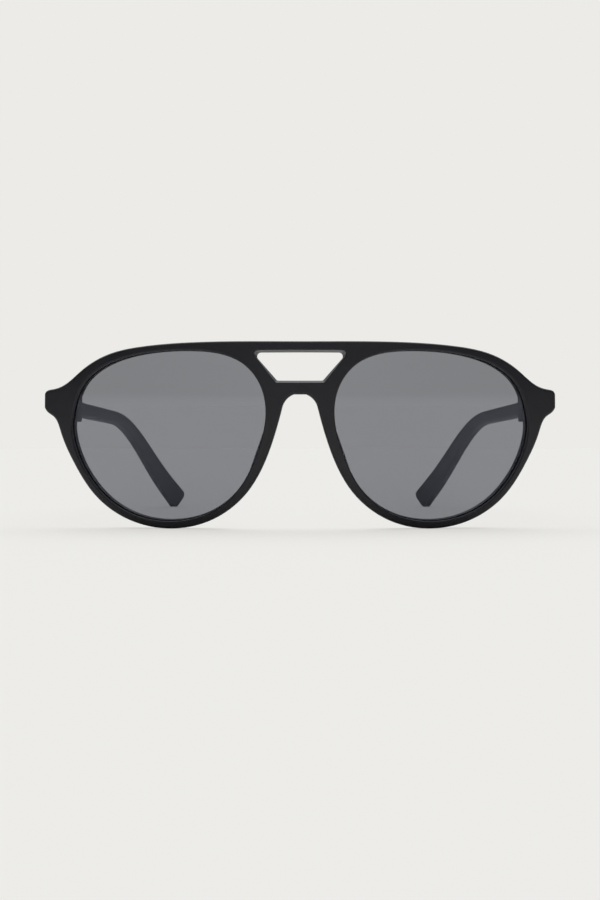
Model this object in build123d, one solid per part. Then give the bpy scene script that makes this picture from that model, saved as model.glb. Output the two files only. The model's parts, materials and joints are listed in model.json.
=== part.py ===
from build123d import *
import math
import os

# Aviator sunglasses in black moulded plastic, standing on the lower rims and the
# temple tips.  Millimetres, +X to the wearer's left, +Y from the front back to the
# temple tips, +Z up, origin on the ground under the middle of the whole pair.

# ---- front ---------------------------------------------------------------
FRONT_WIDTH = 146.4          # across the two endpieces
FRONT_HEIGHT = 53.8          # brow to lowest rim, along the curved front
FRONT_CURVE = 220.0          # radius of the front's face
FRONT_THICKNESS = 4.4
FRONT_TILT = 4.0             # brow leaning forward, degrees
RIM_EDGE = 0.75              # rounding of the front's outer edges
EYE_EDGE = 0.3               # rounding of the front round each lens
WINDOW_EDGE = 0.25           # rounding of the front round the bridge window
WINDOW_CORNERS = (1.1, 0.7)  # upper and lower corner radii of the bridge window

# ---- lenses --------------------------------------------------------------
LENS_RECESS = 1.2            # lens face behind the rim's face
LENS_THICKNESS = 1.8
LENS_BITE = 0.6              # depth of lens edge inside the groove
GROOVE_CLEARANCE = 0.08      # room round the lens edge in the groove

# ---- nose pads -----------------------------------------------------------
PAD_TOP = (7.85, 3.4)        # middle of the pad's upper end
PAD_FOOT = (12.75, -10.6)    # middle of the pad's lower end
PAD_WIDTH = 2.9
PAD_DEPTH = 4.6
PAD_EDGE = 1.1

# ---- endpiece lug and hinge ----------------------------------------------
LUG_OUT = 0.4                # butt face behind the rim's back at the outer edge
LUG_WIDTH = 9.2              # from the endpiece's outer edge inwards
LUG_HEIGHT = 10.0
LUG_DEPTH = 3.6
LUG_EDGE = 0.6
HINGE_INSET = 5.7            # hinge axis inside the endpiece's outer edge
HINGE_BEHIND = 1.9           # hinge axis behind the butt face
KNUCKLES = 5
KNUCKLE_RADIUS = 1.3
KNUCKLE_HEIGHT = 1.0
KNUCKLE_GAP = 0.05           # between one knuckle and the next
SWEEP_CLEARANCE = 0.15       # room round a knuckle in the other leaf
LEAF_THICKNESS = 1.0
LEAF_CORNER = 0.6
FRONT_LEAF_INNER = 2.8       # front leaf reaches this far inside the hinge axis
FRONT_LEAF_OUTER = 1.1       # and this far outside it
FRONT_STRAP_WIDTH = 2.2      # upright strap that carries the two front screws
FRONT_STRAP_HEIGHT = 9.0
FRONT_SCREW_SPACING = 6.8
TEMPLE_LEAF_START = -0.5     # from the hinge axis back
TEMPLE_LEAF_END = 10.1
TEMPLE_LEAF_HEIGHT = 3.6
TEMPLE_SCREWS = (4.2, 8.0)   # behind the hinge axis
PIN_RADIUS = 0.6
PIN_CLEARANCE = 0.03
PIN_HEAD_RADIUS = 1.1
PIN_HEAD_HEIGHT = 0.6
SCREW_RADIUS = 0.5           # leaf screws
SCREW_HEAD_RADIUS = 0.85
SCREW_LENGTH = 2.6
SLOT_WIDTH = 0.3
SLOT_DEPTH = 0.25

# ---- temples -------------------------------------------------------------
TEMPLE_LENGTH = 140.0        # hinge axis to tip, along the temple
EAR_LENGTH = 43.2            # middle of the ear bend to the tip
EAR_SPREAD = 47.0            # length over which the ear bend turns
TEMPLE_SLOPE = 1.6           # fall of the straight part, degrees
TOE_IN = 3.6                 # plan angle of the straight part, degrees
CURL = 39.5                  # further plan angle gained towards the tip, degrees
CURL_LENGTH = 28.3           # middle of the curl to the tip
CURL_SPREAD = 88.0
BUTT_GAP = 0.1               # temple's butt face behind the lug's
INNER_FACE = 2.0             # temple's inner face outside the hinge axis
BUTT_HEIGHT = 6.0            # temple's height at the hinge, on the shaft, at the tip
SHAFT_HEIGHT = 4.4
TIP_HEIGHT = 8.2
BUTT_THICKNESS = 3.8
TIP_THICKNESS = 2.6
TAPER_LENGTH = 32.0          # hinge to where the shaft has its own height
TEMPLE_EDGE = 0.9            # rounding of the temple's long edges
TIP_ROUND = 2.5              # rounding of the tip seen from the side
WIRE_RADIUS = 0.55
WIRE_SHORT = 9.0             # core wire ends this far before the tip
WIRE_INSIDE = 0.95           # wire's axis inside the outer face at the hinge
WIRE_LEVEL = 12.0            # behind the hinge, where the wire leaves the outer face
WIRE_CENTRED = 34.0          # and where it has come to mid-thickness
STRAIGHT_SECTIONS = 9        # sections of the temple's loft before and in the ear bend
BEND_SECTIONS = 8

# ---- outlines of the front's right half ----------------------------------
# Points (across, up) on the flat that touches the front's face in its middle.
DRAWN_WIDTH = 146.4
DRAWN_HEIGHT = 53.8
BROW = [(0, 26.3), (30, 26.3), (45, 25.45), (56.5, 23.25), (65.2, 18.6),
        (70.6, 14.6), (75.0, 13.15), (77.2, 12.6), (77.9, 11.6)]
RIM = [(77.9, 7.6), (76.7, 6.05), (74.6, 4.75), (72.1, 0.0), (67.85, -8.8),
       (61.4, -18.05), (52.9, -24.3), (38.5, -27.5), (25.4, -24.6),
       (14.45, -15.8), (9.35, -6.45), (4.9, 8.0)]
NOSE_ARCH = (1.7, 11.35)     # where the nose arch turns level under the bridge
EYE = [(68.15, 3.45), (67.1, 8.65), (64.45, 14.45), (59.6, 18.75), (51.05, 22.2),
       (41.0, 23.8), (31.0, 24.0), (22.6, 22.95), (15.85, 19.8), (11.3, 14.2),
       (9.6, 6.6), (10.15, 1.3), (12.8, -7.15), (18.1, -16.3), (25.45, -22.2),
       (36.0, -25.25), (46.2, -24.55), (55.2, -20.6), (62.25, -13.7), (67.15, -4.25)]
WINDOW_FRONT = [(14.1, 23.8), (10.35, 19.1), (6.75, 14.7)]
WINDOW_BACK = [(13.75, 23.45), (10.0, 19.35), (6.5, 15.5)]
ENDPIECE = (77.9, 8.5)       # where the hinge's height is taken


# ---- the curved front ----------------------------------------------------

def drawn(point):
    """A drawn outline point at the front's own width and height."""
    return (point[0] * FRONT_WIDTH / DRAWN_WIDTH, point[1] * FRONT_HEIGHT / DRAWN_HEIGHT)


def grown(points, amount):
    """Closed outline points moved outwards, square to the outline."""
    moved = []
    for i, (u, v) in enumerate(points):
        before, after = points[i - 1], points[(i + 1) % len(points)]
        du, dv = after[0] - before[0], after[1] - before[1]
        length = math.hypot(du, dv)
        moved.append((u + amount * dv / length, v - amount * du / length))
    return moved


def on_front(point, depth):
    """Place of an outline point at a depth behind the face, with the tilt."""
    u, v = drawn(point)
    ratio = (FRONT_CURVE - depth) / math.sqrt(u * u + v * v + FRONT_CURVE ** 2)
    y, z = FRONT_CURVE * (1 - ratio), v * ratio
    tilt = math.radians(FRONT_TILT)
    return Vector(u * ratio, y * math.cos(tilt) - z * math.sin(tilt),
                  y * math.sin(tilt) + z * math.cos(tilt))


def flat_face(face, depth):
    """A drawn outline carried to a flat behind the face, narrowing with the curve."""
    ratio = (FRONT_CURVE - depth) / FRONT_CURVE
    return Plane.XZ.offset(-depth) * scale(face, by=ratio)


def cone(face, near=-6.0, far=36.0):
    """Solid through a drawn outline, its walls square to the curved front."""
    return loft([flat_face(face, near), flat_face(face, far)], ruled=True)


def shell(outer_depth, inner_depth):
    """All of the curved front between two depths behind its face."""
    balls = Sphere(FRONT_CURVE - outer_depth) - Sphere(FRONT_CURVE - inner_depth)
    return Pos(0, FRONT_CURVE, 0) * balls


def tilted(shape):
    return Rot(FRONT_TILT, 0, 0) * shape


def upright(shape):
    return Rot(-FRONT_TILT, 0, 0) * shape


def other_side(shape):
    return mirror(shape, about=Plane.YZ)


def front_outline():
    """Brow, endpieces, lower rims and nose arch."""
    brow = [drawn(p) for p in BROW]
    rim = [drawn(p) for p in RIM]
    arch = drawn(NOSE_ARCH)
    heading = (rim[-1][0] - rim[-2][0], rim[-1][1] - rim[-2][1])
    right = [Spline(*rim), TangentArc(rim[-1], arch, tangent=heading), Line(brow[-1], rim[0])]
    top = [(-u, v) for u, v in reversed(brow[1:])] + brow
    level = Line((-arch[0], arch[1]), arch)
    left = [other_side(edge) for edge in right]
    return make_face(Curve() + [Spline(*top), level] + right + left)


def eye_outline(growth=0.0):
    """The right lens opening, or the lens or groove that is larger by the growth."""
    return make_face(Spline(*grown([drawn(p) for p in EYE], growth), periodic=True))


def window_outline(share):
    """The bridge window, from its front (0) to its back (1) and beyond."""
    corners = []
    for front, back in zip(WINDOW_FRONT, WINDOW_BACK):
        (u, v), (back_u, back_v) = drawn(front), drawn(back)
        corners.append((u + (back_u - u) * share, v + (back_v - v) * share))
    top, side, foot = corners
    other_foot, other_side_point, other_top = [(-u, v) for u, v in (foot, side, top)]
    edges = [ThreePointArc(top, side, foot), Line(foot, other_foot),
             ThreePointArc(other_foot, other_side_point, other_top), Line(other_top, top)]
    face = make_face(Curve() + edges)
    face = fillet(face.vertices().sort_by(Axis.Y)[2:], WINDOW_CORNERS[0])
    return fillet(face.vertices().sort_by(Axis.Y)[:2], WINDOW_CORNERS[1])


def bridge_window():
    """Cutter for the window, wider in front than behind."""
    start = 1.0                       # the face is this deep where the window is
    near, far = start - 2.0, start + FRONT_THICKNESS + 3.0
    faces = [flat_face(window_outline((d - start) / FRONT_THICKNESS), d) for d in (near, far)]
    return loft(faces, ruled=True)


def edges_at(shape, depth):
    """Edges of an upright front piece that lie at one depth behind its face."""
    middle = Vector(0, FRONT_CURVE, 0)
    found = ShapeList()
    for edge in shape.edges():
        reach = [(edge.position_at(t) - middle).length for t in (0.1, 0.5, 0.9)]
        if max(abs(r - FRONT_CURVE + depth) for r in reach) < 0.01:
            found.append(edge)
    return found


def round_window(edge):
    """Whether an edge belongs to the bridge window."""
    (width, top), (_, foot) = drawn(WINDOW_FRONT[0]), drawn(WINDOW_FRONT[-1])
    place = edge.position_at(0.5)
    margin = 2 * WINDOW_EDGE
    return abs(place.X) < width and foot - margin < place.Z < top + margin


end = on_front(ENDPIECE, FRONT_THICKNESS)
butt = end.Y + LUG_OUT
hinge = Vector(end.X - HINGE_INSET, butt + HINGE_BEHIND, end.Z)
stack = KNUCKLES * KNUCKLE_HEIGHT + (KNUCKLES - 1) * KNUCKLE_GAP


def lug():
    """Block behind the left endpiece with the flat that the temple butts against."""
    block = Box(LUG_WIDTH + 4, LUG_DEPTH, LUG_HEIGHT,
                align=(Align.MIN, Align.MAX, Align.CENTER))
    back = block.faces().sort_by(Axis.Y)[-1]
    inner_back = back.edges().sort_by(Axis.X)[:-1]
    block = fillet(inner_back, LUG_EDGE)
    return Pos(end.X - LUG_WIDTH, butt, hinge.Z) * block


def front_frame():
    outline = cone(front_outline())
    body = outline & shell(0, FRONT_THICKNESS)
    body = fillet(edges_at(body, 0) + edges_at(body, FRONT_THICKNESS), RIM_EDGE)
    for block in (lug(), other_side(lug())):
        body += upright(block) & outline
    eye = cone(eye_outline())
    groove = cone(eye_outline(LENS_BITE + GROOVE_CLEARANCE))
    groove &= shell(LENS_RECESS, LENS_RECESS + LENS_THICKNESS)
    body = body - eye - other_side(eye)
    faces = edges_at(body, 0) + edges_at(body, FRONT_THICKNESS)
    body = fillet(faces.filter_by(lambda edge: edge.is_closed), EYE_EDGE)
    body -= bridge_window()
    faces = edges_at(body, 0) + edges_at(body, FRONT_THICKNESS)
    body = fillet(faces.filter_by(round_window), WINDOW_EDGE)
    return tilted(body - groove - other_side(groove))


def lens():
    edge = cone(eye_outline(LENS_BITE))
    return tilted(edge & shell(LENS_RECESS, LENS_RECESS + LENS_THICKNESS))


def nose_pad():
    """Pad cemented to the back of the rim beside the nose."""
    (u1, v1), (u2, v2) = drawn(PAD_TOP), drawn(PAD_FOOT)
    lean = math.degrees(math.atan2(v2 - v1, u2 - u1))
    length = math.hypot(u2 - u1, v2 - v1) + PAD_WIDTH
    outline = SlotOverall(length, PAD_WIDTH, rotation=lean)
    outline = Pos((u1 + u2) / 2, (v1 + v2) / 2) * outline
    pad = cone(outline) & shell(FRONT_THICKNESS, FRONT_THICKNESS + PAD_DEPTH)
    pad = fillet(edges_at(pad, FRONT_THICKNESS + PAD_DEPTH), PAD_EDGE)
    return tilted(pad)


# ---- hinge ---------------------------------------------------------------

def knuckles(first, radius, spare=0.0):
    """Every other knuckle of the stack, about the hinge axis."""
    pitch = KNUCKLE_HEIGHT + KNUCKLE_GAP
    group = []
    for i in range(first, KNUCKLES, 2):
        z = -stack / 2 + KNUCKLE_HEIGHT / 2 + i * pitch
        group.append(Pos(0, 0, z) * Cylinder(radius, KNUCKLE_HEIGHT + 2 * spare))
    return group


def leaf_screw(slotted=True):
    """Countersunk screw pointing down from a head that ends at the origin."""
    sink = SCREW_HEAD_RADIUS - SCREW_RADIUS
    head = Pos(0, 0, -sink / 2) * Cone(SCREW_RADIUS, SCREW_HEAD_RADIUS, sink)
    shank = Pos(0, 0, -SCREW_LENGTH / 2) * Cylinder(SCREW_RADIUS, SCREW_LENGTH)
    screw = head + shank
    if slotted:
        screw -= Box(4 * SCREW_HEAD_RADIUS, SLOT_WIDTH, 2 * SLOT_DEPTH)
    return screw


def front_screw_group(slotted=True):
    """Two screws that hold the front leaf to the lug, about the hinge axis."""
    x = -FRONT_LEAF_INNER + FRONT_STRAP_WIDTH / 2
    y = LEAF_THICKNESS - HINGE_BEHIND
    group = []
    for z in (-FRONT_SCREW_SPACING / 2, FRONT_SCREW_SPACING / 2):
        group.append(Pos(x, y, z) * Rot(-90, 0, 0) * leaf_screw(slotted))
    return group


def temple_screw_group(slotted=True):
    """Two screws that hold the temple leaf to the temple, about the hinge axis."""
    x = INNER_FACE - LEAF_THICKNESS
    return [Pos(x, y, 0) * Rot(0, -90, 0) * leaf_screw(slotted) for y in TEMPLE_SCREWS]


def front_leaf():
    """Plate on the lug with the first, third and fifth knuckles."""
    upright_corner = (Align.MIN, Align.MIN, Align.CENTER)
    strap = Box(FRONT_STRAP_WIDTH, LEAF_THICKNESS, FRONT_STRAP_HEIGHT, align=upright_corner)
    strap = fillet(strap.edges().filter_by(Axis.Y), LEAF_CORNER)
    plate = Box(FRONT_LEAF_INNER + FRONT_LEAF_OUTER, LEAF_THICKNESS, stack, align=upright_corner)
    leaf = Pos(-FRONT_LEAF_INNER, -HINGE_BEHIND, 0) * (strap + plate)
    for knuckle in knuckles(1, KNUCKLE_RADIUS + SWEEP_CLEARANCE, KNUCKLE_GAP):
        leaf -= knuckle
    for knuckle in knuckles(0, KNUCKLE_RADIUS):
        leaf += knuckle
    lowest = -stack / 2 + KNUCKLE_HEIGHT
    upper_hole = Cylinder(PIN_RADIUS + PIN_CLEARANCE, 2 * stack,
                          align=(Align.CENTER, Align.CENTER, Align.MIN))
    leaf -= Pos(0, 0, lowest) * upper_hole
    leaf -= Cylinder(PIN_RADIUS, 2 * stack)
    for screw in front_screw_group(slotted=False):
        leaf -= screw
    return leaf


def temple_leaf():
    """Plate on the temple's inner face with the second and fourth knuckles."""
    length = TEMPLE_LEAF_END - TEMPLE_LEAF_START
    plate = Box(LEAF_THICKNESS, length, TEMPLE_LEAF_HEIGHT,
                align=(Align.MAX, Align.MIN, Align.CENTER))
    plate = fillet(plate.edges().filter_by(Axis.X).sort_by(Axis.Y)[2:], LEAF_CORNER)
    leaf = Pos(INNER_FACE, TEMPLE_LEAF_START, 0) * plate
    for knuckle in knuckles(0, KNUCKLE_RADIUS + SWEEP_CLEARANCE, KNUCKLE_GAP):
        leaf -= knuckle
    for knuckle in knuckles(1, KNUCKLE_RADIUS):
        leaf += knuckle
    leaf -= Cylinder(PIN_RADIUS + PIN_CLEARANCE, 2 * stack)
    for screw in temple_screw_group(slotted=False):
        leaf -= screw
    return leaf


def hinge_screw():
    """Slotted screw that is the hinge's axle, its head on the top knuckle."""
    shank = Cylinder(PIN_RADIUS, stack)
    bottom = (Align.CENTER, Align.CENTER, Align.MIN)
    head = Pos(0, 0, stack / 2) * Cylinder(PIN_HEAD_RADIUS, PIN_HEAD_HEIGHT, align=bottom)
    slot = Pos(0, 0, stack / 2 + PIN_HEAD_HEIGHT) * Box(
        4 * PIN_HEAD_RADIUS, SLOT_WIDTH, 2 * SLOT_DEPTH)
    return shank + head - slot


# ---- temples -------------------------------------------------------------

def ramp(s, middle, spread):
    """Smooth step from 0 to 1 over a spread of length about a middle."""
    t = min(max((s - middle) / spread + 0.5, 0.0), 1.0)
    return t * t * (3 - 2 * t)


def temple_angles(s, drop):
    """Slope and plan angle of the temple at a length behind the hinge, in radians."""
    slope = TEMPLE_SLOPE + drop * ramp(s, TEMPLE_LENGTH - EAR_LENGTH, EAR_SPREAD)
    plan = CURL * ramp(s, TEMPLE_LENGTH - CURL_LENGTH, CURL_SPREAD)
    return math.radians(slope), math.radians(plan)


def temple_route(drop, start=-4.0, step=0.25):
    """Places along the middle of the temple's inner face, one for each step."""
    route = []
    count = round((TEMPLE_LENGTH - start) / step)
    place = Vector(INNER_FACE, start, 0)
    for i in range(count + 1):
        s = start + i * step
        route.append((s, place))
        slope, plan = temple_angles(s + step / 2, drop)
        along = math.cos(slope)
        place += Vector(-along * math.sin(plan), along * math.cos(plan), -math.sin(slope)) * step
    return route


def tip_height(drop):
    """Lowest point of the rounded tip, from the hinge's height."""
    slope, _ = temple_angles(TEMPLE_LENGTH, drop)
    tip = temple_route(drop)[-1][1]
    flat = TIP_HEIGHT / 2 - TIP_ROUND
    return tip.Z + TIP_ROUND * math.sin(slope) - flat * math.cos(slope) - TIP_ROUND


def ear_drop(ground):
    """Further fall at the ear that brings the tip down to the ground, in degrees."""
    low, high = 0.0, 88.0
    while high - low > 1e-6:
        middle = (low + high) / 2
        if tip_height(middle) > ground:
            low = middle
        else:
            high = middle
    return (low + high) / 2


def temple_height(s):
    taper = 1 - ramp(s, TAPER_LENGTH / 2, TAPER_LENGTH)
    bend_start = TEMPLE_LENGTH - EAR_LENGTH - EAR_SPREAD / 4
    paddle = max(0.0, (s - bend_start) / (TEMPLE_LENGTH - bend_start))
    return (SHAFT_HEIGHT + (BUTT_HEIGHT - SHAFT_HEIGHT) * taper
            + (TIP_HEIGHT - SHAFT_HEIGHT) * paddle)


def temple_thickness(s):
    share = max(0.0, s) / TEMPLE_LENGTH
    return BUTT_THICKNESS + (TIP_THICKNESS - BUTT_THICKNESS) * share ** 2


def station(s, place, drop, outward):
    """Plane across the temple, moved outwards from its inner face."""
    slope, plan = temple_angles(s, drop)
    side = Vector(math.cos(plan), math.sin(plan), 0)
    along = Vector(-math.cos(slope) * math.sin(plan), math.cos(slope) * math.cos(plan),
                   -math.sin(slope))
    return Plane(origin=place + side * outward, x_dir=side, z_dir=along)


def stations_to(last, drop):
    """Lengths and places for the sections of a loft along the temple."""
    route = temple_route(drop)
    bend_start = TEMPLE_LENGTH - EAR_LENGTH - EAR_SPREAD / 2
    straight = bend_start - route[0][0]
    wanted = [route[0][0] + i * straight / STRAIGHT_SECTIONS for i in range(STRAIGHT_SECTIONS)]
    pitch = (last - bend_start) / (BEND_SECTIONS - 1)
    wanted += [bend_start + i * pitch for i in range(BEND_SECTIONS)]
    return [min(route, key=lambda item: abs(item[0] - s)) for s in wanted]


def temple_blank(drop):
    sections = []
    for s, place in stations_to(TEMPLE_LENGTH, drop):
        plane = station(s, place, drop, temple_thickness(s) / 2)
        sections.append(plane * RectangleRounded(temple_thickness(s), temple_height(s),
                                                 TEMPLE_EDGE))
    return loft(sections)


def core_wire(drop):
    """Stiffening wire of straight runs and arcs, near the outer face at the hinge."""
    route = temple_route(drop)
    bend_start = TEMPLE_LENGTH - EAR_LENGTH - EAR_SPREAD / 2
    last = TEMPLE_LENGTH - WIRE_SHORT
    wanted = [route[0][0], WIRE_LEVEL, WIRE_CENTRED]
    wanted += [bend_start + i * (last - bend_start) / 5 for i in range(6)]
    corners = []
    for s, place in (min(route, key=lambda item: abs(item[0] - w)) for w in wanted):
        thickness = temple_thickness(s)
        outward = thickness - WIRE_INSIDE if s <= WIRE_LEVEL else thickness / 2
        corners.append(station(s, place, drop, outward).origin)
    radii = []
    for before, corner, after in zip(corners, corners[1:], corners[2:]):
        first, second = corner - before, after - corner
        half_turn = math.radians(first.get_angle(second)) / 2
        radii.append(0.45 * min(first.length, second.length) / math.tan(half_turn))
    path = FilletPolyline(*corners, radius=radii)
    start = Plane(origin=corners[0], z_dir=corners[1] - corners[0])
    return sweep(start * Circle(WIRE_RADIUS), path=path)


def tip_trim(drop):
    """Cutter that rounds the tip as seen from the side."""
    s, place = temple_route(drop)[-1]
    plane = station(s, place, drop, TIP_THICKNESS / 2)
    side_view = Plane(origin=plane.origin, x_dir=plane.z_dir, z_dir=plane.x_dir)
    long = 4 * TIP_ROUND
    keep = Pos(-long / 2, 0) * RectangleRounded(long, TIP_HEIGHT, TIP_ROUND)
    ends = Pos(-TIP_ROUND / 2 + 0.5, 0) * Rectangle(TIP_ROUND + 1, 2 * TIP_HEIGHT)
    return extrude(side_view * (ends - keep), 4 * TIP_THICKNESS, both=True)


def at_hinge(shape):
    """Place a piece drawn about the hinge axis that stays with the front."""
    return Pos(*hinge) * shape


def at_temple(shape):
    """Place a piece drawn about the hinge axis that belongs to the temple."""
    return Pos(*hinge) * Rot(0, 0, TOE_IN) * shape


def behind_butt(shape):
    """The part of a temple piece behind the butt face."""
    ahead = Box(200, 100, 100, align=(Align.CENTER, Align.MAX, Align.CENTER))
    return shape - Pos(hinge.X, butt + BUTT_GAP, hinge.Z) * ahead


# ---- assembly ------------------------------------------------------------

front = front_frame()
ground = front.bounding_box().min.Z
drop = ear_drop(ground - hinge.Z)
wire = behind_butt(at_temple(core_wire(drop)))
arm = behind_butt(at_temple(temple_blank(drop) - tip_trim(drop)))
arm -= wire
for screw in temple_screw_group(slotted=False):
    arm -= at_temple(screw)
for screw in front_screw_group(slotted=False):
    front -= at_hinge(screw)
    front -= other_side(at_hinge(screw))

left_pieces = {
    "lens": lens(),
    "nose_pad": nose_pad(),
    "front_hinge_leaf": at_hinge(front_leaf()),
    "temple_hinge_leaf": at_temple(temple_leaf()),
    "hinge_screw": at_hinge(hinge_screw()),
    "front_leaf_screws": Compound([at_hinge(s) for s in front_screw_group()]),
    "temple_leaf_screws": Compound([at_temple(s) for s in temple_screw_group()]),
    "temple": arm,
    "core_wire": wire,
}
pieces = {"front_frame": front}
for name, shape in left_pieces.items():
    pieces[name + "_left"] = shape
    pieces[name + "_right"] = other_side(shape)

nearest = front.bounding_box().min.Y
farthest = arm.bounding_box().max.Y
centre = Pos(0, -(nearest + farthest) / 2, -ground)

os.makedirs("parts", exist_ok=True)
for name, shape in pieces.items():
    export_step(centre * shape, f"parts/{name}.step")
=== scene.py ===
"""Aviator sunglasses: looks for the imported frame, laid out as an add-on and run as a script."""

import json
import math

import bmesh
import bpy
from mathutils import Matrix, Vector


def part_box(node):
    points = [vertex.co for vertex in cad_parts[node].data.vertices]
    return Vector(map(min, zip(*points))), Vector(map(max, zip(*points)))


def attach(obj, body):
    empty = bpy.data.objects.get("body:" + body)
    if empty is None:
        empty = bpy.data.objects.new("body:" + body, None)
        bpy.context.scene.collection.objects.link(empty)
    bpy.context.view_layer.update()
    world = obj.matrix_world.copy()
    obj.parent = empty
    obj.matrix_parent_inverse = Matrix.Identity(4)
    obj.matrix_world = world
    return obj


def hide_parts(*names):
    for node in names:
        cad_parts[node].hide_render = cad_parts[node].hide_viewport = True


bl_info = {
    "name": "Aviator Sunglasses",
    "version": (1, 0, 0),
    "blender": (4, 5, 0),
    "location": "View3D > Sidebar > Sunglasses",
    "description": "Finishes, hinge detail and a small studio for a pair of aviator sunglasses",
    "category": "Object",
}

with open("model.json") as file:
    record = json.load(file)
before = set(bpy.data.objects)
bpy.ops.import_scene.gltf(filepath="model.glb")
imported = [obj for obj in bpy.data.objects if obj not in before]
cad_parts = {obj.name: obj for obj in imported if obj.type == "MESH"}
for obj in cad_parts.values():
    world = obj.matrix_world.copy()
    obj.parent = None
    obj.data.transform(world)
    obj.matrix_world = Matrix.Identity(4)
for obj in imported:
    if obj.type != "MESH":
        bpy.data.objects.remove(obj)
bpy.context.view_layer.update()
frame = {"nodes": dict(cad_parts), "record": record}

MM = 0.001
SIDES = ("left", "right")

# The front: a shell of even thickness, curved like a ball about one centre.
FRONT_CURVE = 220.0 * MM         # radius of the front's face
FRONT_THICKNESS = 4.4 * MM
FRONT_TILT = math.radians(4.0)   # brow leaning forward
BRIDGE_FACE = Vector((0.0, -73.182, 26.358)) * MM
CURVE_CENTRE = BRIDGE_FACE + FRONT_CURVE * Vector((0, math.cos(FRONT_TILT), math.sin(FRONT_TILT)))
CAMERA_AIM_SETBACK = 0.5 * MM    # the camera's distance starts this far behind the front's nearest

# Nose pads
PAD_DEPTH = 4.6 * MM             # how far a nose pad stands off the rim
PAD_LEAN = math.atan2(4.9, 14.0)  # how far its long side leans away from upright
PAD_GRID = 0.22 * MM             # mesh spacing
PAD_NARROWING = 0.22             # share of its width lost at the crown
PAD_SEAT = 0.12                  # share of its depth by the rim that stays unsmoothed
PAD_SMOOTHING = 12               # rounds

# Leaf screws on the temples
TOE_IN = math.radians(3.6)       # plan angle of the temples at the hinges
TEMPLE_SCREWS = (4.2 * MM, 8.0 * MM)   # behind the hinge axis, along the temple
TEMPLE_LEAF_FACE = 1.0 * MM      # the leaf's inner face outside the hinge axis
HEAD_SIDES = 48
SHANK_SIDES = 32

# Materials
EDGE_RADIUS = 0.4 * MM           # corners tighter than this are painted lighter and glossier, partly as wear and partly as a painted highlight

# Floor
PAINTED_SHADOW_REACH = 6.0 * MM         # how near a piece must be for the painted contact shadow on the floor under it
PAINTED_SHADOW_SHARE = 0.87             # share of the floor's glow left in the painted contact shadow where a piece touches it
FLOOR_REACH = 6.0                # to either side and back, in metres
FLOOR_FRONT = -1.0


# ---- settings ------------------------------------------------------------

def colour_property(name, description, default):
    return bpy.props.FloatVectorProperty(
        name=name, description=description, default=default, size=3,
        subtype="COLOR", min=0.0, max=1.0)


def size_property(name, description, millimetres):
    return bpy.props.FloatProperty(name=name, description=description, min=0.0, unit="LENGTH",
                                   default=millimetres * MM)


class SunglassesFinish(bpy.types.PropertyGroup):
    """Colours and surface of the plastics and the lenses."""

    plastic: colour_property("Plastic", "Colour of the moulded frame", (0.0108, 0.0106, 0.0142))
    temple: colour_property("Temple", "Colour of the tumbled temples", (0.006, 0.0062, 0.0125))
    plastic_roughness: bpy.props.FloatProperty(
        name="Plastic roughness", description="Roughness of the moulded front",
        default=0.36, min=0.0, max=1.0, subtype="FACTOR")
    temple_roughness: bpy.props.FloatProperty(
        name="Temple roughness", description="Roughness of the tumbled temples",
        default=0.42, min=0.0, max=1.0, subtype="FACTOR")
    lens_tint: colour_property("Lens tint", "Share of light that the lens lets through",
                               (0.259, 0.267, 0.290))
    metal: colour_property("Hinge metal", "Colour of the hinge leaves", (0.56, 0.55, 0.53))
    head_radius: size_property("Screw head radius", "Of the screws in the hinge leaves", 0.85)
    shank_radius: size_property("Screw shank radius", "Of the screws in the hinge leaves", 0.5)
    screw_length: size_property("Screw length", "Head to tip", 2.6)
    slot_width: size_property("Slot width", "Of the slot across a screw head", 0.3)
    slot_depth: size_property("Slot depth", "Of the slot across a screw head", 0.25)


class SunglassesStudio(bpy.types.PropertyGroup):
    """Floor, light and camera."""

    backdrop: colour_property("Backdrop", "Colour of floor and backdrop", (0.84, 0.83, 0.80))
    light: colour_property("Light", "Colour of the light on the pair", (0.82, 0.83, 0.86))
    floor_glow: bpy.props.FloatProperty(
        name="Floor glow", description="Share of the floor's paleness that no shadow dims",
        default=0.748, min=0.0, max=1.0, subtype="FACTOR")
    floor_fill: bpy.props.FloatProperty(
        name="Floor fill", description="Paleness of the floor where light falls on it",
        default=0.35, min=0.0)
    front_level: bpy.props.FloatProperty(
        name="Front level", description="Light from in front, as a share of the backdrop",
        default=0.34, min=0.0)
    upper_level: bpy.props.FloatProperty(
        name="Upper level", description="Light from higher in front, in backdrops",
        default=0.6, min=0.0)
    side_level: bpy.props.FloatProperty(
        name="Side level", description="Light from either side in front, in backdrops",
        default=0.05, min=0.0)
    back_level: bpy.props.FloatProperty(
        name="Back level", description="Light from all round the back, in backdrops",
        default=0.2, min=0.0)
    box_level: bpy.props.FloatProperty(
        name="Soft box", description="Light from high behind, in backdrops", default=1.9, min=0.0)
    camera_distance: bpy.props.FloatProperty(
        name="Camera distance", description="From the camera to the face of the bridge",
        default=0.376, min=0.1, unit="LENGTH")
    camera_height: bpy.props.FloatProperty(
        name="Camera height", description="Above the floor", default=0.024,
        unit="LENGTH")
    camera_rise: bpy.props.FloatProperty(
        name="Camera rise", description="Vertical shift of the lens, in sensor heights",
        default=-0.007)
    focal_length: bpy.props.FloatProperty(
        name="Focal length", description="Of the camera, in millimetres", default=54.2, min=1.0)


def finish_settings():
    return bpy.context.scene.sunglasses_finish


def studio_settings():
    return bpy.context.scene.sunglasses_studio


# ---- materials -----------------------------------------------------------

def new_material(name):
    """An empty node material with a Principled shader at its output."""
    material = bpy.data.materials.new(name)
    material.use_nodes = True
    nodes = material.node_tree.nodes
    nodes.clear()
    output = nodes.new("ShaderNodeOutputMaterial")
    shader = nodes.new("ShaderNodeBsdfPrincipled")
    material.node_tree.links.new(shader.outputs[0], output.inputs["Surface"])
    return material, shader


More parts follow.
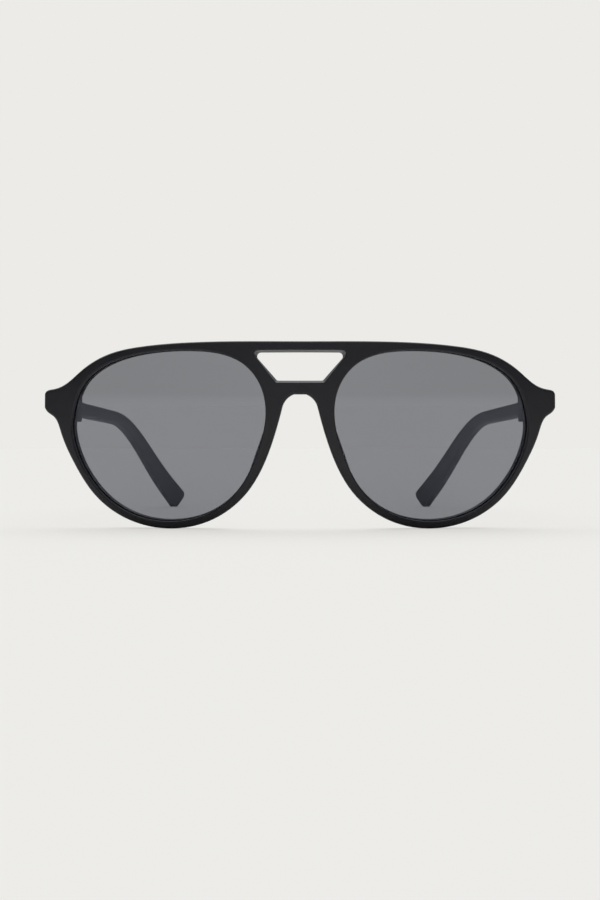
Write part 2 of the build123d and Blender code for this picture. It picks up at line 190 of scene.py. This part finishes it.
def grain(material, scale, detail=2.0):
    """Noise on object coordinates, at a scale in waves per metre."""
    nodes, links = material.node_tree.nodes, material.node_tree.links
    place = nodes.new("ShaderNodeTexCoord")
    noise = nodes.new("ShaderNodeTexNoise")
    noise.inputs["Scale"].default_value = scale
    noise.inputs["Detail"].default_value = detail
    links.new(place.outputs["Object"], noise.inputs["Vector"])
    return noise.outputs["Fac"]


def spread(material, source, low, high):
    """A value that follows the source from low to high."""
    node = material.node_tree.nodes.new("ShaderNodeMapRange")
    node.inputs["From Min"].default_value = 0.3
    node.inputs["From Max"].default_value = 0.7
    node.inputs["To Min"].default_value = low
    node.inputs["To Max"].default_value = high
    material.node_tree.links.new(source, node.inputs["Value"])
    return node.outputs["Result"]


def tint(material, source, low, high):
    """A colour that follows the source from low to high."""
    node = material.node_tree.nodes.new("ShaderNodeMix")
    node.data_type = "RGBA"
    material.node_tree.links.new(source, node.inputs["Factor"])
    node.inputs[6].default_value = (*low, 1)
    node.inputs[7].default_value = (*high, 1)
    return node.outputs[2]


def bump(material, source, depth):
    """Surface normal raised by the source, by a depth in metres."""
    node = material.node_tree.nodes.new("ShaderNodeBump")
    node.inputs["Strength"].default_value = 1.0
    node.inputs["Distance"].default_value = depth
    material.node_tree.links.new(source, node.inputs["Height"])
    return node.outputs["Normal"]


def scaled(colour, factor):
    return tuple(min(c * factor, 1.0) for c in colour)


def edge_mask(material, radius):
    """0 on flat and gently curved faces, 1 along edges tighter than the radius."""
    nodes, links = material.node_tree.nodes, material.node_tree.links
    rounded = nodes.new("ShaderNodeBevel")
    rounded.samples = 4
    rounded.inputs["Radius"].default_value = radius
    surface = nodes.new("ShaderNodeNewGeometry")
    match = nodes.new("ShaderNodeVectorMath")
    match.operation = "DOT_PRODUCT"
    links.new(rounded.outputs["Normal"], match.inputs[0])
    links.new(surface.outputs["Normal"], match.inputs[1])
    mask = nodes.new("ShaderNodeMapRange")
    mask.interpolation_type = "SMOOTHSTEP"
    for name, value in (("From Min", 0.995), ("From Max", 0.9), ("To Min", 0.0), ("To Max", 1.0)):
        mask.inputs[name].default_value = value
    links.new(match.outputs["Value"], mask.inputs["Value"])
    return mask.outputs["Result"]


def blended(material, share, low, high):
    """One value over another by a share."""
    node = material.node_tree.nodes.new("ShaderNodeMix")
    links = material.node_tree.links
    links.new(share, node.inputs["Factor"])
    links.new(low, node.inputs[2])
    node.inputs[3].default_value = high
    return node.outputs[0]


def moulded_plastic(name, colour, roughness, grain_depth):
    """Black moulded plastic: a fine moulded skin, a faint handling haze, and edges painted lighter and
    glossier, partly as wear and partly as a painted highlight.
    """
    material, shader = new_material(name)
    links = material.node_tree.links
    skin = grain(material, 2600.0)
    haze = grain(material, 90.0, 4.0)
    edge = edge_mask(material, EDGE_RADIUS)
    body = tint(material, haze, scaled(colour, 0.8), scaled(colour, 1.25))
    edge_wear_and_highlight = material.node_tree.nodes.new("ShaderNodeMix")
    edge_wear_and_highlight.data_type = "RGBA"
    links.new(edge, edge_wear_and_highlight.inputs["Factor"])
    links.new(body, edge_wear_and_highlight.inputs[6])
    # Edges lighter than the body: partly wear, partly a painted highlight.
    edge_wear_and_highlight.inputs[7].default_value = (*scaled(colour, 1.9), 1)
    links.new(edge_wear_and_highlight.outputs[2], shader.inputs["Base Color"])
    gloss = spread(material, haze, roughness - 0.03, roughness + 0.05)
    links.new(blended(material, edge, gloss, roughness - 0.1), shader.inputs["Roughness"])
    links.new(bump(material, skin, grain_depth), shader.inputs["Normal"])
    shader.inputs["IOR"].default_value = 1.49
    return material


def tinted_lens(colour):
    """Grey tinted lens, faintly uneven in tint and polish."""
    material, shader = new_material("tinted_lens")
    links = material.node_tree.links
    cloud = grain(material, 45.0, 3.0)
    links.new(tint(material, cloud, scaled(colour, 0.99), scaled(colour, 1.01)),
              shader.inputs["Base Color"])
    links.new(spread(material, grain(material, 400.0, 4.0), 0.0, 0.012), shader.inputs["Roughness"])
    shader.inputs["Transmission Weight"].default_value = 1.0
    shader.inputs["IOR"].default_value = 1.5
    shader.inputs["Specular Tint"].default_value = (0.8, 0.83, 1.0, 1)
    return material


def worked_metal(name, colour, roughness, scale):
    """Metal with fine working marks that vary its gloss."""
    material, shader = new_material(name)
    links = material.node_tree.links
    marks = grain(material, scale, 3.0)
    links.new(tint(material, marks, scaled(colour, 0.75), scaled(colour, 1.1)),
              shader.inputs["Base Color"])
    links.new(spread(material, marks, roughness - 0.08, roughness + 0.1),
              shader.inputs["Roughness"])
    links.new(bump(material, marks, 0.000004), shader.inputs["Normal"])
    shader.inputs["Metallic"].default_value = 1.0
    return material


# ---- pieces --------------------------------------------------------------

def dress(node, material):
    """Give a carried-over node its material."""
    mesh = frame["nodes"][node].data
    mesh.materials.clear()
    mesh.materials.append(material)


class SUNGLASSES_OT_front(bpy.types.Operator):
    """Finish the moulded front and temples"""

    bl_idname = "sunglasses.front"
    bl_label = "Front and temples"

    def execute(self, context):
        settings = finish_settings()
        plastic = moulded_plastic("frame_plastic", settings.plastic,
                                  settings.plastic_roughness, 0.000006)
        tumbled = moulded_plastic("temple_plastic", settings.temple,
                                  settings.temple_roughness, 0.000008)
        dress("front_frame", plastic)
        for side in SIDES:
            dress("temple_" + side, tumbled)
        return {"FINISHED"}


class SUNGLASSES_OT_pads(bpy.types.Operator):
    """Shape the two nose pads, narrower and rounded towards the nose"""

    bl_idname = "sunglasses.pads"
    bl_label = "Nose pads"

    def execute(self, context):
        settings = finish_settings()
        polished = moulded_plastic("pad_plastic", settings.plastic, 0.2, 0.000002)
        for side in SIDES:
            pad = crowned_pad(side)
            pad.data.materials.append(polished)
            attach(pad, "front")
            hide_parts("nose_pad_" + side)
        return {"FINISHED"}


def crowned_pad(side):
    """A finely meshed copy of the pad, its sides drawn in towards the crown and smoothed."""
    mesh = frame["nodes"]["nose_pad_" + side].data.copy()
    mesh.name = "crowned_pad_" + side
    mesh.materials.clear()
    pad = bpy.data.objects.new(mesh.name, mesh)
    bpy.context.scene.collection.objects.link(pad)
    merge(mesh)
    remesh = pad.modifiers.new("remesh", "REMESH")
    remesh.mode = "VOXEL"
    remesh.voxel_size = PAD_GRID
    apply_modifiers(pad)
    low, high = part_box("nose_pad_" + side)
    middle = (low + high) / 2
    sign = 1 if side == "left" else -1
    across = Vector((sign * math.cos(PAD_LEAN), 0, math.sin(PAD_LEAN)))
    shape = bmesh.new()
    shape.from_mesh(pad.data)
    heights = {v: pad_height(v.co) for v in shape.verts}
    for vert, height in heights.items():
        share = min(max(height / PAD_DEPTH, 0.0), 1.0)
        lost = PAD_NARROWING * share ** 2
        vert.co -= across * lost * (vert.co - middle).dot(across)
    free = [v for v, height in heights.items() if height > PAD_SEAT * PAD_DEPTH]
    for _ in range(PAD_SMOOTHING):
        bmesh.ops.smooth_vert(shape, verts=free, factor=0.5, use_axis_x=True,
                              use_axis_y=True, use_axis_z=True)
    for face in shape.faces:
        face.smooth = True
    shape.to_mesh(pad.data)
    shape.free()
    return pad


def pad_height(place):
    """How far a place stands off the back of the rim."""
    return FRONT_CURVE - FRONT_THICKNESS - (place - CURVE_CENTRE).length


def merge(mesh):
    """Join a mesh's loose triangles."""
    shape = bmesh.new()
    shape.from_mesh(mesh)
    bmesh.ops.remove_doubles(shape, verts=shape.verts, dist=0.001 * MM)
    shape.to_mesh(mesh)
    shape.free()


def apply_modifiers(piece):
    """Replace a piece's mesh by its evaluated one, without modifiers."""
    evaluated = piece.evaluated_get(bpy.context.evaluated_depsgraph_get())
    mesh = bpy.data.meshes.new_from_object(evaluated)
    mesh.name = piece.name
    piece.modifiers.clear()
    piece.data = mesh


class SUNGLASSES_OT_lenses(bpy.types.Operator):
    """Finish the two lenses"""

    bl_idname = "sunglasses.lenses"
    bl_label = "Lenses"

    def execute(self, context):
        lens = tinted_lens(finish_settings().lens_tint)
        for side in SIDES:
            dress("lens_" + side, lens)
        return {"FINISHED"}


class SUNGLASSES_OT_hinges(bpy.types.Operator):
    """Finish hinge leaves, screws and core wires"""

    bl_idname = "sunglasses.hinges"
    bl_label = "Hinges"

    def execute(self, context):
        metal = finish_settings().metal
        leaf = worked_metal("hinge_metal", metal, 0.3, 4000.0)
        screw = worked_metal("screw_metal", scaled(metal, 1.15), 0.22, 7000.0)
        for side in SIDES:
            for node in ("front_hinge_leaf_", "temple_hinge_leaf_", "core_wire_"):
                dress(node + side, leaf)
            dress("hinge_screw_" + side, screw)
        return {"FINISHED"}


class SUNGLASSES_OT_screws(bpy.types.Operator):
    """Set the slotted screws that hold the hinge leaves"""

    bl_idname = "sunglasses.screws"
    bl_label = "Leaf screws"

    def execute(self, context):
        settings = finish_settings()
        turned = worked_metal("turned_screw", scaled(settings.metal, 1.15), 0.22, 7000.0)
        front_heads = []
        for side in SIDES:
            low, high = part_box("front_leaf_screws_" + side)
            middle = (low.x + high.x) / 2
            for level in (low.z + settings.head_radius, high.z - settings.head_radius):
                front_heads.append((Vector((middle, high.y, level)), Vector((0, 1, 0))))
        screws = set_screws("front_leaf_screw_set", front_heads, turned, 1)
        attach(screws, "front")
        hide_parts("front_leaf_screws_left", "front_leaf_screws_right")
        for seed, side in enumerate(SIDES, start=2):
            screws = set_screws("temple_leaf_screw_set_" + side, temple_heads(side), turned, seed)
            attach(screws, "temple_" + side + "_arm")
            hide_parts("temple_leaf_screws_" + side)
        return {"FINISHED"}


def temple_heads(side):
    """Places and directions of the screw heads on a temple's inner face."""
    joint = next(j for j in frame["record"]["behaviour"]["joints"]
                 if j["child"] == "temple_" + side + "_arm")
    hinge = Vector(joint["pos_m"])
    sign = 1 if side == "left" else -1
    outward = Vector((sign * math.cos(TOE_IN), math.sin(TOE_IN), 0))
    along = Vector((-sign * math.sin(TOE_IN), math.cos(TOE_IN), 0))
    return [(hinge + outward * TEMPLE_LEAF_FACE + along * distance, -outward)
            for distance in TEMPLE_SCREWS]


def set_screws(name, heads, material, seed):
    """Screws at the given heads, as one plain mesh."""
    settings = finish_settings()
    mesh = bpy.data.meshes.new(name)
    mesh.from_pydata([place for place, _ in heads], [], [])
    axes = mesh.attributes.new("screw_axis", "FLOAT_VECTOR", "POINT")
    for i, (_, axis) in enumerate(heads):
        axes.data[i].vector = axis
    piece = bpy.data.objects.new(name, mesh)
    bpy.context.scene.collection.objects.link(piece)
    tree = screw_tree(material)
    modifier = piece.modifiers.new("screws", "NODES")
    modifier.node_group = tree
    values = {"Head radius": settings.head_radius, "Shank radius": settings.shank_radius,
              "Length": settings.screw_length, "Slot width": settings.slot_width,
              "Slot depth": settings.slot_depth, "Seed": seed}
    for item in tree.interface.items_tree:
        if item.name in values:
            modifier[item.identifier] = values[item.name]
    apply_modifiers(piece)
    return piece


def screw_tree(material):
    """Node tree that sets a slotted, countersunk screw on each point, along its screw_axis."""
    tree = bpy.data.node_groups.new("slotted_screws", "GeometryNodeTree")
    face = tree.interface
    face.new_socket("Points", in_out="INPUT", socket_type="NodeSocketGeometry")
    for label in ("Head radius", "Shank radius", "Length", "Slot width", "Slot depth"):
        face.new_socket(label, in_out="INPUT", socket_type="NodeSocketFloat")
    face.new_socket("Seed", in_out="INPUT", socket_type="NodeSocketInt")
    face.new_socket("Screws", in_out="OUTPUT", socket_type="NodeSocketGeometry")
    nodes, links = tree.nodes, tree.links
    given = nodes.new("NodeGroupInput")
    result = nodes.new("NodeGroupOutput")

    def maths(operation, first, second):
        node = nodes.new("ShaderNodeMath")
        node.operation = operation
        for socket, value in zip(node.inputs, (first, second)):
            if isinstance(value, (int, float)):
                socket.default_value = value
            else:
                links.new(value, socket)
        return node.outputs[0]

    def moved_down(geometry, distance):
        node = nodes.new("GeometryNodeTransform")
        offset = nodes.new("ShaderNodeCombineXYZ")
        links.new(maths("MULTIPLY", distance, -1.0), offset.inputs["Z"])
        links.new(geometry, node.inputs["Geometry"])
        links.new(offset.outputs[0], node.inputs["Translation"])
        return node.outputs[0]

    sink = maths("SUBTRACT", given.outputs["Head radius"], given.outputs["Shank radius"])
    head = nodes.new("GeometryNodeMeshCone")
    head.inputs["Vertices"].default_value = HEAD_SIDES
    links.new(given.outputs["Head radius"], head.inputs["Radius Top"])
    links.new(given.outputs["Shank radius"], head.inputs["Radius Bottom"])
    links.new(sink, head.inputs["Depth"])
    shank = nodes.new("GeometryNodeMeshCylinder")
    shank.inputs["Vertices"].default_value = SHANK_SIDES
    links.new(given.outputs["Shank radius"], shank.inputs["Radius"])
    rest = maths("SUBTRACT", given.outputs["Length"], sink)
    links.new(rest, shank.inputs["Depth"])
    slot = nodes.new("GeometryNodeMeshCube")
    size = nodes.new("ShaderNodeCombineXYZ")
    links.new(maths("MULTIPLY", given.outputs["Head radius"], 4.0), size.inputs["X"])
    links.new(given.outputs["Slot width"], size.inputs["Y"])
    links.new(maths("MULTIPLY", given.outputs["Slot depth"], 2.0), size.inputs["Z"])
    links.new(size.outputs[0], slot.inputs["Size"])
    cut = nodes.new("GeometryNodeMeshBoolean")
    cut.operation = "DIFFERENCE"
    links.new(moved_down(head.outputs["Mesh"], sink), cut.inputs["Mesh 1"])
    links.new(slot.outputs["Mesh"], cut.inputs["Mesh 2"])
    whole = nodes.new("GeometryNodeJoinGeometry")
    links.new(cut.outputs["Mesh"], whole.inputs[0])
    middle = maths("ADD", sink, maths("MULTIPLY", rest, 0.5))
    links.new(moved_down(shank.outputs["Mesh"], middle), whole.inputs[0])
    axis = nodes.new("GeometryNodeInputNamedAttribute")
    axis.data_type = "FLOAT_VECTOR"
    axis.inputs["Name"].default_value = "screw_axis"
    aligned = nodes.new("FunctionNodeAlignRotationToVector")
    links.new(axis.outputs["Attribute"], aligned.inputs["Vector"])
    turn = nodes.new("FunctionNodeRandomValue")
    turn.data_type = "FLOAT"
    turn.inputs[2].default_value = 0.0
    turn.inputs[3].default_value = math.pi
    links.new(given.outputs["Seed"], turn.inputs["Seed"])
    spin = nodes.new("FunctionNodeAxisAngleToRotation")
    links.new(turn.outputs[1], spin.inputs["Angle"])
    turned = nodes.new("FunctionNodeRotateRotation")
    turned.rotation_space = "LOCAL"
    links.new(aligned.outputs["Rotation"], turned.inputs["Rotation"])
    links.new(spin.outputs["Rotation"], turned.inputs["Rotate By"])
    placed = nodes.new("GeometryNodeInstanceOnPoints")
    links.new(given.outputs["Points"], placed.inputs["Points"])
    links.new(whole.outputs[0], placed.inputs["Instance"])
    links.new(turned.outputs[0], placed.inputs["Rotation"])
    real = nodes.new("GeometryNodeRealizeInstances")
    links.new(placed.outputs["Instances"], real.inputs["Geometry"])
    finish = nodes.new("GeometryNodeSetMaterial")
    finish.inputs["Material"].default_value = material
    links.new(real.outputs["Geometry"], finish.inputs["Geometry"])
    links.new(finish.outputs["Geometry"], result.inputs["Screws"])
    return tree


class SUNGLASSES_OT_studio(bpy.types.Operator):
    """Add floor, light and camera"""

    bl_idname = "sunglasses.studio"
    bl_label = "Studio"

    def execute(self, context):
        settings = studio_settings()
        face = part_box("front_frame")[0].y
        add_floor(settings)
        light_world(settings)
        context.scene.view_settings.view_transform = "Standard"
        away = face + CAMERA_AIM_SETBACK - settings.camera_distance
        add_camera(Vector((0.0, away, settings.camera_height)),
                   settings.focal_length, settings.camera_rise)
        return {"FINISHED"}


def seen_directly(nodes, links):
    """1 where the floor or backdrop is looked at, straight or through a lens, and 0 in reflections."""
    path = nodes.new("ShaderNodeLightPath")
    return joined(nodes, links, "MAXIMUM", path.outputs["Is Camera Ray"],
                  path.outputs["Is Transmission Ray"])


def add_floor(settings):
    """A large pale floor that shows only faint shadows: seen directly it glows, dimmed near pieces
    into a painted contact shadow, and in reflections it is plainly lit.
    """
    material, shader = new_material("floor")
    nodes, links = material.node_tree.nodes, material.node_tree.links
    cloud = grain(material, 3.0)
    pale = settings.backdrop
    links.new(tint(material, cloud, scaled(pale, 1.1), scaled(pale, 1.12)),
              shader.inputs["Base Color"])
    shader.inputs["Roughness"].default_value = 0.7
    shader.inputs["Specular IOR Level"].default_value = 0.0
    faint = nodes.new("ShaderNodeBsdfPrincipled")
    fill = scaled(pale, settings.floor_fill)
    links.new(tint(material, cloud, scaled(fill, 0.99), scaled(fill, 1.01)),
              faint.inputs["Base Color"])
    faint.inputs["Roughness"].default_value = 0.7
    faint.inputs["Specular IOR Level"].default_value = 0.0
    faint.inputs["Emission Color"].default_value = (*pale, 1)
    # Painted contact shadow: ambient occlusion dims the floor's glow near a piece.
    painted_shadow_nearness = nodes.new("ShaderNodeAmbientOcclusion")
    painted_shadow_nearness.inputs["Distance"].default_value = PAINTED_SHADOW_REACH
    painted_contact_shadow = smooth_range(nodes, links, painted_shadow_nearness.outputs["AO"], 0.35, 1.0,
                           PAINTED_SHADOW_SHARE * settings.floor_glow, settings.floor_glow)
    links.new(painted_contact_shadow, faint.inputs["Emission Strength"])
    mix = nodes.new("ShaderNodeMixShader")
    links.new(seen_directly(nodes, links), mix.inputs[0])
    links.new(shader.outputs[0], mix.inputs[1])
    links.new(faint.outputs[0], mix.inputs[2])
    output = next(node for node in nodes if node.type == "OUTPUT_MATERIAL")
    links.new(mix.outputs[0], output.inputs["Surface"])
    mesh = bpy.data.meshes.new("floor")
    corners = [(-FLOOR_REACH, FLOOR_FRONT, 0), (FLOOR_REACH, FLOOR_FRONT, 0),
               (FLOOR_REACH, FLOOR_REACH, 0), (-FLOOR_REACH, FLOOR_REACH, 0)]
    mesh.from_pydata(corners, [], [(0, 1, 2, 3)])
    mesh.materials.append(material)
    floor = bpy.data.objects.new("floor", mesh)
    bpy.context.scene.collection.objects.link(floor)


def smooth_range(nodes, links, source, start, end, low, high):
    """Smooth step of a world direction's part, from low at start to high at end."""
    node = nodes.new("ShaderNodeMapRange")
    node.interpolation_type = "SMOOTHSTEP"
    for name, value in (("From Min", start), ("From Max", end), ("To Min", low), ("To Max", high)):
        node.inputs[name].default_value = value
    links.new(source, node.inputs["Value"])
    return node.outputs["Result"]


def joined(nodes, links, operation, first, second):
    node = nodes.new("ShaderNodeMath")
    node.operation = operation
    links.new(first, node.inputs[0])
    links.new(second, node.inputs[1])
    return node.outputs[0]


def light_world(settings):
    """Dim in front and behind, a soft box high behind, and the floor's glow below the horizon."""
    world = bpy.data.worlds.new("studio")
    bpy.context.scene.world = world
    world.use_nodes = True
    nodes, links = world.node_tree.nodes, world.node_tree.links
    nodes.clear()
    output = nodes.new("ShaderNodeOutputWorld")
    shown = nodes.new("ShaderNodeBackground")
    shown.inputs["Color"].default_value = (*settings.backdrop, 1)
    lit = nodes.new("ShaderNodeBackground")
    lit.inputs["Color"].default_value = (*settings.light, 1)
    place = nodes.new("ShaderNodeTexCoord")
    split = nodes.new("ShaderNodeSeparateXYZ")
    links.new(place.outputs["Generated"], split.inputs[0])
    aside = nodes.new("ShaderNodeMath")
    aside.operation = "ABSOLUTE"
    links.new(split.outputs["X"], aside.inputs[0])
    upright_fill = smooth_range(nodes, links, split.outputs["Z"], 0.05, 0.35,
                                settings.front_level, settings.upper_level)
    fill = smooth_range(nodes, links, aside.outputs[0], 0.1, 0.6, 0.0, settings.side_level)
    links.new(upright_fill, fill.node.inputs["To Min"])
    glow = smooth_range(nodes, links, split.outputs["Z"], -0.035, 0.02, 1.0, 0.0)
    front = joined(nodes, links, "MAXIMUM", glow, fill)
    back = smooth_range(nodes, links, split.outputs["Y"], -0.15, 0.25, 0.0, settings.back_level)
    round_about = joined(nodes, links, "MAXIMUM", front, back)
    box_back = smooth_range(nodes, links, split.outputs["Y"], -0.2, 0.3, 0.0, settings.box_level)
    box_up = smooth_range(nodes, links, split.outputs["Z"], 0.45, 0.7, 0.0, 1.0)
    box = joined(nodes, links, "MULTIPLY", box_back, box_up)
    links.new(joined(nodes, links, "ADD", round_about, box), lit.inputs["Strength"])
    mix = nodes.new("ShaderNodeMixShader")
    links.new(seen_directly(nodes, links), mix.inputs[0])
    links.new(lit.outputs[0], mix.inputs[1])
    links.new(shown.outputs[0], mix.inputs[2])
    links.new(mix.outputs[0], output.inputs["Surface"])


def add_camera(place, focal_length, rise):
    data = bpy.data.cameras.new("camera")
    data.sensor_fit = "VERTICAL"
    data.sensor_height = 36.0
    data.lens = focal_length
    data.shift_y = rise
    data.clip_start = 0.01
    camera = bpy.data.objects.new("camera", data)
    camera.location = place
    camera.rotation_euler = (math.radians(90), 0, 0)
    bpy.context.scene.collection.objects.link(camera)
    bpy.context.scene.camera = camera


# ---- panel and registration ----------------------------------------------

PIECE_OPERATORS = (SUNGLASSES_OT_front, SUNGLASSES_OT_pads, SUNGLASSES_OT_lenses,
                   SUNGLASSES_OT_hinges, SUNGLASSES_OT_screws, SUNGLASSES_OT_studio)


class SUNGLASSES_PT_panel(bpy.types.Panel):
    """Buttons and settings for the sunglasses"""

    bl_idname = "SUNGLASSES_PT_panel"
    bl_label = "Sunglasses"
    bl_space_type = "VIEW_3D"
    bl_region_type = "UI"
    bl_category = "Sunglasses"

    def draw(self, context):
        layout = self.layout
        for group in (context.scene.sunglasses_finish, context.scene.sunglasses_studio):
            for name in group.bl_rna.properties.keys():
                if name not in {"rna_type", "name"}:
                    layout.prop(group, name)
        for operator in PIECE_OPERATORS:
            layout.operator(operator.bl_idname)


CLASSES = (SunglassesFinish, SunglassesStudio, *PIECE_OPERATORS, SUNGLASSES_PT_panel)


def register():
    for cls in CLASSES:
        bpy.utils.register_class(cls)
    bpy.types.Scene.sunglasses_finish = bpy.props.PointerProperty(type=SunglassesFinish)
    bpy.types.Scene.sunglasses_studio = bpy.props.PointerProperty(type=SunglassesStudio)


def unregister():
    del bpy.types.Scene.sunglasses_studio
    del bpy.types.Scene.sunglasses_finish
    for cls in reversed(CLASSES):
        bpy.utils.unregister_class(cls)


def main():
    register()
    bpy.ops.sunglasses.front()
    bpy.ops.sunglasses.pads()
    bpy.ops.sunglasses.lenses()
    bpy.ops.sunglasses.hinges()
    bpy.ops.sunglasses.screws()
    bpy.ops.sunglasses.studio()


if __name__ == "__main__":
    main()
